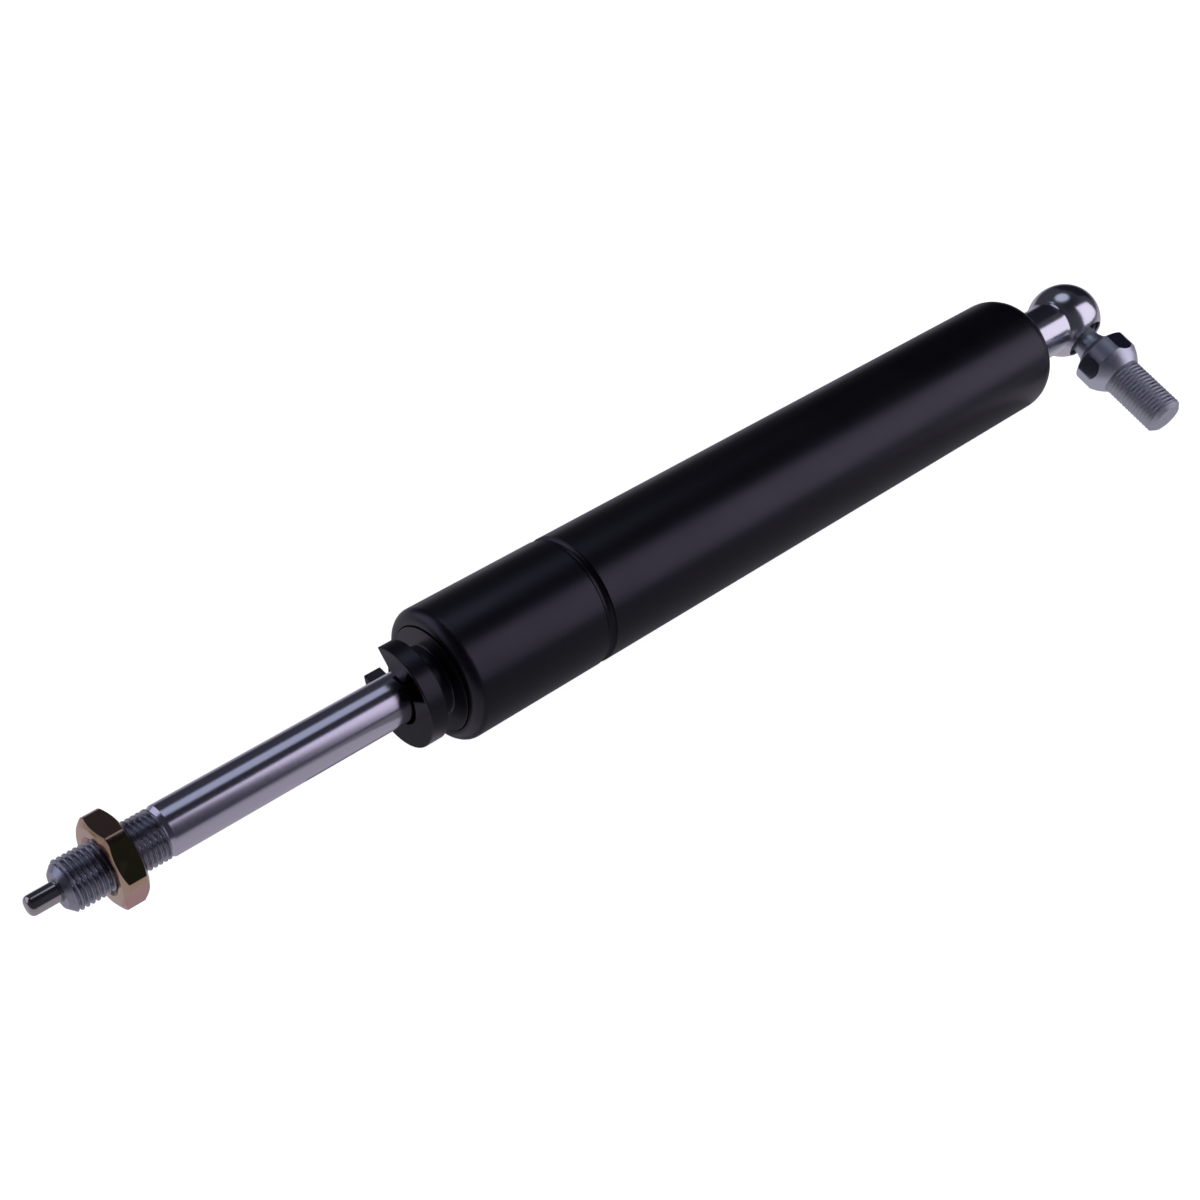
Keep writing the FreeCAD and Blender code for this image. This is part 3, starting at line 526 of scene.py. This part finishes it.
for position, code in ((0.5, "#c9b098"), (0.72, "#c4a284"), (0.78, "#716e4a"), (0.87, "#6b6a46")):
    step = shade.color_ramp.elements.new(position)
    step.color = linear(code)
gloss = add(tree, "ShaderNodeMapRange",
            {"Value": patch.outputs["Fac"], "From Min": 0.3, "From Max": 0.7,
             "To Min": 0.12, "To Max": 0.18})
surface = add(tree, "ShaderNodeBsdfPrincipled",
              {"Base Color": shade.outputs["Color"], "Metallic": 1.0, "Roughness": gloss.outputs["Result"]})
add(tree, "ShaderNodeOutputMaterial", {"Surface": surface.outputs["BSDF"]})


def nut_edge(face, inward, drop=0.0, shift=0.0):
    """Where the hexagon meets the chamfer cone of a face, set inwards and along by a little."""
    def at(angle):
        r = flatted(6, nut_flats, angle, nut_round) - drop
        return face + inward * max(0.0, (r - nut_face) * nut_slope) + inward * shift, r
    return at


nut_shell = turned([
    (nut_front + nut_sink, nut_bore),
    (nut_front, nut_bore + nut_sink),
    (nut_front, nut_face - 0.15),
    (nut_front + 0.03, nut_face + 0.05),
    nut_edge(nut_front, 1, drop=soft_edge),
    nut_edge(nut_front, 1, shift=soft_edge),
    nut_edge(nut_rear, -1, shift=soft_edge),
    nut_edge(nut_rear, -1, drop=soft_edge),
    (nut_rear - 0.03, nut_face + 0.05),
    (nut_rear, nut_face - 0.15),
    (nut_rear, nut_bore + nut_sink),
    (nut_rear - nut_sink, nut_bore),
])
bmesh.ops.rotate(nut_shell, verts=nut_shell.verts, matrix=Matrix.Rotation(nut_corner, 3, "X"))
nut = finished("zinc_lock_nut", nut_shell, yellow_zinc, sharp=22)
# The film value is how far each face points up; the zinc's ramp turns it into painted light and shade.
film = nut.data.attributes.new("film", "FLOAT", "FACE")
for polygon in nut.data.polygons:
    film.data[polygon.index].value = polygon.normal.z
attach(nut, "lock_nut")
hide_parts("lock_nut")

# Ball socket: a cold-headed steel end, chromed bright, screwed on the end plug's stud. Its mouth was
# rolled in over the liner.
socket_radius = 9.145
socket_neck = 6.5
mouth_radius = 5.2
seat_room = 7.95
tapping_radius = 4.05
tapping_end = tube_end + 10.35
mouth_drop = math.radians(15.2)
mouth_turn = Matrix.Rotation(mouth_drop, 4, "X") @ Matrix.Rotation(-math.pi / 2, 4, "Z")

# Bright chrome over a polished blank, with a faint waviness about 6 mm across.
socket_chrome, tree = blank_material("bright decorative chrome")
place = add(tree, "ShaderNodeTexCoord")
wave = add(tree, "ShaderNodeTexNoise",
           {"Vector": place.outputs["Object"], "Scale": 1 / (6 * MM), "Detail": 2.0})
gloss = add(tree, "ShaderNodeMapRange",
            {"Value": wave.outputs["Fac"], "From Min": 0.3, "From Max": 0.7,
             "To Min": 0.16, "To Max": 0.2})
surface = add(tree, "ShaderNodeBsdfPrincipled",
              {"Base Color": linear("#dcdce0"), "Metallic": 1.0, "Roughness": gloss.outputs["Result"]})
add(tree, "ShaderNodeOutputMaterial", {"Surface": surface.outputs["BSDF"]})


def arc(radius, first, last, parts):
    """Points of a circle about the origin, by angles in degrees from +X."""
    turns = [math.radians(first + (last - first) * part / parts) for part in range(parts + 1)]
    return [(radius * math.cos(turn), abs(radius * math.sin(turn))) for turn in turns]


blend_start = 180 - math.degrees(math.asin(7.0 / socket_radius))
socket_profile = [(tube_end, tapping_radius), (tube_end, socket_neck - 0.25), (tube_end + 0.25, socket_neck)]
socket_profile += [(-7.6, socket_neck), (-6.7, 6.56), (-6.1, 6.76)]
socket_profile += arc(socket_radius, blend_start, 0, 72)
socket_profile += [(tapping_end, 0), (tapping_end, tapping_radius)]
socket_shell = turned(socket_profile)
socket = finished("chromed_ball_socket", socket_shell, socket_chrome)
cutter_profile = arc(seat_room, 180, 41, 40)
cutter_profile += [(6.1, mouth_radius), (7.13, mouth_radius), (7.43, mouth_radius + 0.12)]
cutter_profile += [(7.68, mouth_radius + 0.6), (8.08, 12), (14, 12), (14, 0)]
cutter_shell = turned(cutter_profile)
bmesh.ops.transform(cutter_shell, matrix=mouth_turn, verts=cutter_shell.verts)
cutter = finished("mouth_cutter", cutter_shell, socket_chrome)
opening = socket.modifiers.new("mouth", "BOOLEAN")
opening.operation = "DIFFERENCE"
opening.solver = "EXACT"
opening.object = cutter
opened = bpy.data.meshes.new_from_object(socket.evaluated_get(bpy.context.evaluated_depsgraph_get()))
socket.modifiers.remove(opening)
socket.data = opened
socket.data.set_sharp_from_angle(angle=math.radians(32))
bpy.data.objects.remove(cutter)
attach(socket, "cylinder")
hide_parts("ball_socket")

# Ball stud: cold-formed steel with a ball, a waisted neck, a round collar with four spanner flats and a
# rolled thread. It is plated with bright zinc and lightly scuffed.
stud_tilt = math.radians(6.2)
stud_reach = 37.2
stud_tip = 1.0
ball_radius = 6.5
stud_neck = 3.4
cone_start = 11.4
cone_length = 2.0
round_start = 17.8
round_end = 21.4
round_arc = 12.0
flare = 4.3
stud_wide = 7.4
stud_face = 5.2
stud_flats = 14.0
flats_turn = math.radians(39.5)
shank = 4.93
stud_turn = Matrix.Rotation(mouth_drop, 4, "X") @ Matrix.Rotation(-math.pi / 2 - stud_tilt, 4, "Z")
stud_turn = stud_turn @ Matrix.Rotation(flats_turn, 4, "X")


def zinc_finish(name, code, second, rough, rougher):
    """Bright zinc over a spangle about 0.8 mm across."""
    made, tree = blank_material(name)
    place = add(tree, "ShaderNodeTexCoord")
    spangle = add(tree, "ShaderNodeTexNoise",
                  {"Vector": place.outputs["Object"], "Scale": 1 / (0.8 * MM), "Detail": 3.0})
    shade = add(tree, "ShaderNodeValToRGB", {"Fac": spangle.outputs["Fac"]})
    shade.color_ramp.elements[0].color = linear(code)
    shade.color_ramp.elements[1].color = linear(second)
    gloss = add(tree, "ShaderNodeMapRange",
                {"Value": spangle.outputs["Fac"], "From Min": 0.3, "From Max": 0.7,
                 "To Min": rough, "To Max": rougher})
    surface = add(tree, "ShaderNodeBsdfPrincipled",
                  {"Base Color": shade.outputs["Color"], "Metallic": 1.0,
                   "Roughness": gloss.outputs["Result"]})
    add(tree, "ShaderNodeOutputMaterial", {"Surface": surface.outputs["BSDF"]})
    return made


# Zinc on the neck and collar is satin, and smoother on the pressed flats, which also get a darker, bluer
# colour as painted shade. The rolled thread is duller and sparkles a little.
stud_zinc = zinc_finish("satin zinc plating", "#ccd0da", "#dce0ea", 0.36, 0.44)
smooth_shaded_zinc = zinc_finish("smooth zinc with painted shade", "#a9b0c2", "#b5bcce", 0.17, 0.2)
dull_zinc = zinc_finish("zinc on a rolled thread", "#a2a4ac", "#e6e9f0", 0.46, 0.62)


def on_round(r):
    """Place along the stud where the collar's shank-side arc has a radius."""
    chord = Vector((round_end - round_start, stud_face - stud_wide))
    sink = math.sqrt(round_arc ** 2 - chord.length_squared / 4)
    inward = Vector((chord.y, -chord.x)).normalized()
    centre = Vector((round_start, stud_wide)) + chord / 2 + inward * sink
    return centre.x + math.sqrt(round_arc ** 2 - (r - centre.y) ** 2)


def flat_edge(back, drop=0.0):
    """Where the collar's flats and round meet the cone on the neck side, or the arc on the shank side."""
    def at(angle):
        r = flatted(4, stud_flats, angle, stud_wide) - drop
        if back:
            return cone_start + cone_length * (r - flare) / (stud_wide - flare), r
        return on_round(r), r
    return at


stud_profile = arc(ball_radius, 180, 32, 60)
stud_profile += [(6.6, stud_neck), (8.6, stud_neck), (9.4, 3.5), (10.4, 3.8)]
stud_profile += [(cone_start, flare), (12.2, 5.54)]
stud_profile += [flat_edge(True, 0.08), flat_edge(True), flat_edge(False), flat_edge(False, 0.08)]
stud_profile += [(on_round(r), r) for r in (6.8, 6.5, 6.2, 5.9, 5.6, 5.35)]
stud_profile += [(round_end, stud_face), (round_end, shank)]
stud_shell = turned(stud_profile, closed=False)
plain_faces = len(stud_shell.faces)
# Faces on the flats take the smooth zinc, whose darker, bluer colour is painted shade.
for face in stud_shell.faces:
    middle = face.calc_center_median() / MM
    on_side = cone_start + cone_length + 0.2 < middle.x < round_start - 0.2
    if on_side and math.hypot(middle.y, middle.z) < stud_wide - 0.015:
        face.material_index = 2
stud_mesh = threaded({"Start": -stud_reach, "Length": stud_reach - round_end, "Pitch": 1.0, "Crest": shank,
                      "Depth": 0.13, "Tip": stud_tip, "Runout": 1.2}, dull_zinc)
stud_mesh.transform(Matrix.Scale(-1, 4, Vector((1, 0, 0))))
stud_shell.from_mesh(stud_mesh)
tip_shell = turned([(stud_reach, shank - stud_tip), (stud_reach, 0)], closed=False)
tip_mesh = bpy.data.meshes.new("tip")
tip_shell.to_mesh(tip_mesh)
tip_shell.free()
stud_shell.from_mesh(tip_mesh)
stud_shell.faces.ensure_lookup_table()
for face in stud_shell.faces[plain_faces:]:
    face.material_index = 1
bmesh.ops.transform(stud_shell, matrix=stud_turn, verts=stud_shell.verts)
stud = finished("zinc_ball_stud", stud_shell, stud_zinc, sharp=15)
stud.data.materials.append(dull_zinc)
stud.data.materials.append(smooth_shaded_zinc)
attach(stud, "stud")
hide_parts("ball_stud")


# Inner pieces: seals, washers, guide, pistons, valve and end plug, shut in the tube. They keep their
# turned and moulded shapes and get the finish of their real material.
def plain_finish(name, code, second, metallic, rough, grain_mm):
    """A material with two close shades over a grain of a real size."""
    made, tree = blank_material(name)
    place = add(tree, "ShaderNodeTexCoord")
    grain = add(tree, "ShaderNodeTexNoise",
                {"Vector": place.outputs["Object"], "Scale": 1 / (grain_mm * MM), "Detail": 4.0})
    shade = add(tree, "ShaderNodeValToRGB", {"Fac": grain.outputs["Fac"]})
    shade.color_ramp.elements[0].color = linear(code)
    shade.color_ramp.elements[1].color = linear(second)
    bump = add(tree, "ShaderNodeBump",
               {"Height": grain.outputs["Fac"], "Strength": 0.1, "Distance": 0.02 * MM})
    surface = add(tree, "ShaderNodeBsdfPrincipled",
                  {"Base Color": shade.outputs["Color"], "Metallic": metallic, "Roughness": rough,
                   "Normal": bump.outputs["Normal"]})
    add(tree, "ShaderNodeOutputMaterial", {"Surface": surface.outputs["BSDF"]})
    return made


inner_finishes = {
    "seal_rubber": plain_finish("nitrile rubber", "#141414", "#202020", 0.0, 0.6, 0.4),
    "washer_steel": plain_finish("turned steel", "#8c8c90", "#aaaaae", 1.0, 0.35, 0.6),
    "guide_aluminium": plain_finish("turned aluminium", "#a9a9ab", "#c4c4c6", 1.0, 0.38, 0.6),
    "bush_brass": plain_finish("bearing brass", "#a8874a", "#c4a262", 1.0, 0.35, 0.6),
    "ring_plastic": plain_finish("filled PTFE", "#5a4632", "#6e573f", 0.0, 0.5, 0.4),
    "liner_plastic": plain_finish("acetal liner", "#101011", "#19191b", 0.0, 0.45, 0.4),
}
for row in frame["record"]["subparts"]:
    if row["material_slot"] in inner_finishes:
        inner = frame["nodes"][row["node"]]
        inner.material_slots[0].material = inner_finishes[row["material_slot"]]

# Studio: a white floor, a dark room that is grey below, a large upright panel on each side and a small
# lamp overhead. The paint then shows one soft band, and the chrome dark and light ones. The floor lies low
# enough for the stud's tip to swing past it.
floor_level = tube_low.z - 0.0045
floor_half = 3
floor_outline = [(x * floor_half, y * floor_half) for x, y in ((-1, -1), (1, -1), (1, 1), (-1, 1))]
floor_mesh = bpy.data.meshes.new("floor")
floor_mesh.from_pydata([(x, y, floor_level) for x, y in floor_outline], [], [(0, 1, 2, 3)])
floor = bpy.data.objects.new("floor", floor_mesh)
bpy.context.scene.collection.objects.link(floor)
white_paper, tree = blank_material("white paper")
surface = add(tree, "ShaderNodeBsdfPrincipled",
              {"Base Color": linear("#ffffff"), "Roughness": 1.0, "Specular IOR Level": 0.0,
               "Emission Color": linear("#ffffff"), "Emission Strength": 0.9})
add(tree, "ShaderNodeOutputMaterial", {"Surface": surface.outputs["BSDF"]})
floor.data.materials.append(white_paper)
floor.visible_glossy = False


def studio_card(name, corners, faces, code, mirrored):
    """A glowing card that shows only in mirror images, or only as a backdrop."""
    mesh = bpy.data.meshes.new(name)
    mesh.from_pydata(corners, [], faces)
    made = bpy.data.objects.new(name, mesh)
    bpy.context.scene.collection.objects.link(made)
    finish, tree = blank_material(name)
    surface = add(tree, "ShaderNodeEmission", {"Color": linear(code), "Strength": 1.0})
    add(tree, "ShaderNodeOutputMaterial", {"Surface": surface.outputs["Emission"]})
    made.data.materials.append(finish)
    made.visible_camera = not mirrored
    made.visible_glossy = mirrored
    made.visible_diffuse = False
    made.visible_shadow = False


# Cards: a grey one below the tube and collar dims what their lower side mirrors, and a black one past the
# ball end darkens the ball's far side.
card_level = tube_low.z - 0.0001
card_outline = [(-0.205, -0.6), (-0.02, -0.6), (-0.02, 0.02)]
card_outline += [(-0.232, 0.02), (-0.232, -0.004), (-0.205, -0.004)]
card_corners = [(x, y, card_level) for x, y in card_outline]
studio_card("grey card", card_corners, [(0, 1, 2, 3, 4, 5)], "#78767f", True)
flag_place = 0.6
flag_outline = [(0.0, 0.05), (0.7, 0.05), (0.7, 0.7), (0.0, 0.7)]
flag_corners = [(flag_place, y, z) for y, z in flag_outline]
studio_card("black flag", flag_corners, [(0, 1, 2, 3)], "#1c1c26", True)

# Round wall behind the part, in the floor's white, for views from low down.
wall_radius = 2.9
wall_top = 4.0
wall_turns = [2 * math.pi * step / STEPS for step in range(STEPS)]
wall_ring = [(wall_radius * math.cos(turn), wall_radius * math.sin(turn)) for turn in wall_turns]
wall_corners = [(x, y, z) for z in (floor_level, wall_top) for x, y in wall_ring]
wall_faces = [(step - 1, step, STEPS + step, STEPS + step - 1) for step in range(1, STEPS)]
wall_faces.append((STEPS - 1, 0, STEPS, 2 * STEPS - 1))
studio_card("white wall", wall_corners, wall_faces, "#ffffff", False)

# Room: dark above and grey below, which the metal mirrors.
room = bpy.data.worlds.new("dim studio")
bpy.context.scene.world = room
room.use_nodes = True
tree = room.node_tree
tree.nodes.clear()
place = add(tree, "ShaderNodeTexCoord")
height = add(tree, "ShaderNodeSeparateXYZ", {0: place.outputs["Generated"]})
level = add(tree, "ShaderNodeMapRange",
            {"Value": height.outputs["Z"], "From Min": -1.0, "From Max": 1.0,
             "To Min": 0.0, "To Max": 1.0})
glow = add(tree, "ShaderNodeValToRGB", {"Fac": level.outputs["Result"]})
glow.color_ramp.elements[0].position = 0.0
glow.color_ramp.elements[0].color = linear("#b4b0bb")
glow.color_ramp.elements[1].position = 1.0
glow.color_ramp.elements[1].color = linear("#22222c")
glow_steps = [(0.30, "#b2aeb9"), (0.44, "#a29fab"), (0.49, "#3e3e48")]
glow_steps += [(0.86, "#3c3c48"), (0.97, "#262630")]
for position, code in glow_steps:
    step = glow.color_ramp.elements.new(position)
    step.color = linear(code)
light = add(tree, "ShaderNodeBackground", {"Color": glow.outputs["Color"], "Strength": 1.0})
add(tree, "ShaderNodeOutputWorld", {"Surface": light.outputs["Background"]})


def soft_box(name, shape, spot, aim, width, height, watts, code):
    """A studio light with a plain face, rectangular or round."""
    lamp = bpy.data.lights.new(name, "AREA")
    lamp.shape = shape
    lamp.size = width
    lamp.size_y = height
    lamp.energy = watts
    lamp.color = linear(code)[:3]
    made = bpy.data.objects.new(name, lamp)
    made.location = spot
    made.rotation_euler = (Vector(aim) - Vector(spot)).to_track_quat("-Z", "Y").to_euler()
    bpy.context.scene.collection.objects.link(made)


# Lights: a panel beside the ball end, a round lamp above and a panel behind the rod end, each with its place,
# its aim, its size in metres and its power in watts.
soft_box("near panel", "RECTANGLE", (1.12, -0.75, 0.79), (1.12, 0, 0.79), 1.96, 1.41, 9.6, "#f1eaff")
soft_box("overhead lamp", "ELLIPSE", (0.08, 0.31, 0.79), (-0.1, 0, 0), 0.5, 0.5, 0.42, "#dde6ff")
soft_box("far panel", "RECTANGLE", (-1.22, 0.75, 0.57), (-1.22, 0, 0.57), 1.65, 1.08, 5.2, "#e0e0ff")

# Camera: the photograph's place and lens, fitted to the part's outline.
camera = bpy.data.cameras.new("photo camera")
camera.lens = 52.05
camera.sensor_width = 36
camera.clip_start = 0.01
eye = bpy.data.objects.new("photo camera", camera)
eye.location = (-0.35211, -0.19542, 0.22402)
eye.rotation_euler = [math.radians(turn) for turn in (50.11, -1.773, -42.972)]
bpy.context.scene.collection.objects.link(eye)
bpy.context.scene.camera = eye
bpy.context.scene.view_settings.view_transform = "Standard"
